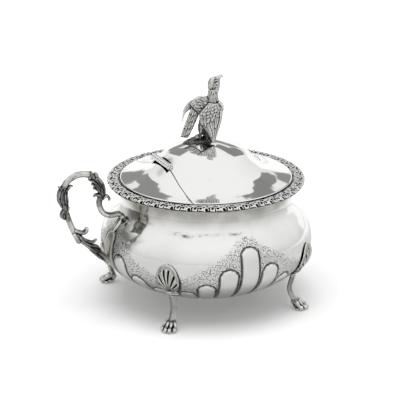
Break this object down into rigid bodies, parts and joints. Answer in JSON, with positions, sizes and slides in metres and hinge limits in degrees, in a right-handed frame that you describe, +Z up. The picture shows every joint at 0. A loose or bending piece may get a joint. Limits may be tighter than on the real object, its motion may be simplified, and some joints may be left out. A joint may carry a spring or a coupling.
{
  "type": "parmesan cheese dish",
  "caption": "Round footed silver dish for grated cheese with a scroll handle, glass liner and domed lid with a hinged spoon flap and bird finial.",
  "frame": {"origin": "on the table, midway between the outer ends of the handle and of the opposite side of the belly and on the plane of the handle; the bowl's axis is 17 mm further along +X", "axes": "+Z up, +X from the handle towards the opposite side, -Y towards the side between the front and right legs"},
  "size_m": [0.1755, 0.1414, 0.1536],
  "materials": {
    "polished_silver": "mirror-polished silver, softly dented, with grey tarnish in the recesses",
    "antiqued_cast_silver": "cast silver, rubbed bright on the high places and dark in the recesses",
    "liner_glass": "clear pressed glass"
  },
  "bodies": {
    "dish": {"body_shell": "polished_silver", "rim_border": "antiqued_cast_silver", "handle": "antiqued_cast_silver", "leg_right": "antiqued_cast_silver", "leg_back": "antiqued_cast_silver", "leg_left": "antiqued_cast_silver", "leg_front": "antiqued_cast_silver"},
    "liner": {"glass_liner": "liner_glass"},
    "lid": {"lid_shell": "polished_silver", "lid_bezel": "polished_silver", "hinge_knuckle_back": "polished_silver", "hinge_knuckle_front": "polished_silver", "hinge_pin": "polished_silver", "eagle_finial": "antiqued_cast_silver", "finial_stud": "polished_silver", "finial_washer": "polished_silver", "finial_nut": "polished_silver"},
    "flap": {"lid_flap": "polished_silver", "hinge_knuckle_flap": "polished_silver"}
  },
  "joints": [
    {"name": "liner_lift", "type": "slide", "parent": "dish", "child": "liner", "axis": [0, 0, 1], "range_m": [0, 0.09]},
    {"name": "lid_lift", "type": "slide", "parent": "liner", "child": "lid", "axis": [0, 0, 1], "range_m": [0, 0.06]},
    {"name": "flap_hinge", "type": "hinge", "parent": "lid", "child": "flap", "pos_m": [-0.0135, 0, 0.09801], "axis": [0, 1, 0], "range_deg": [0, 110]}
  ]
}
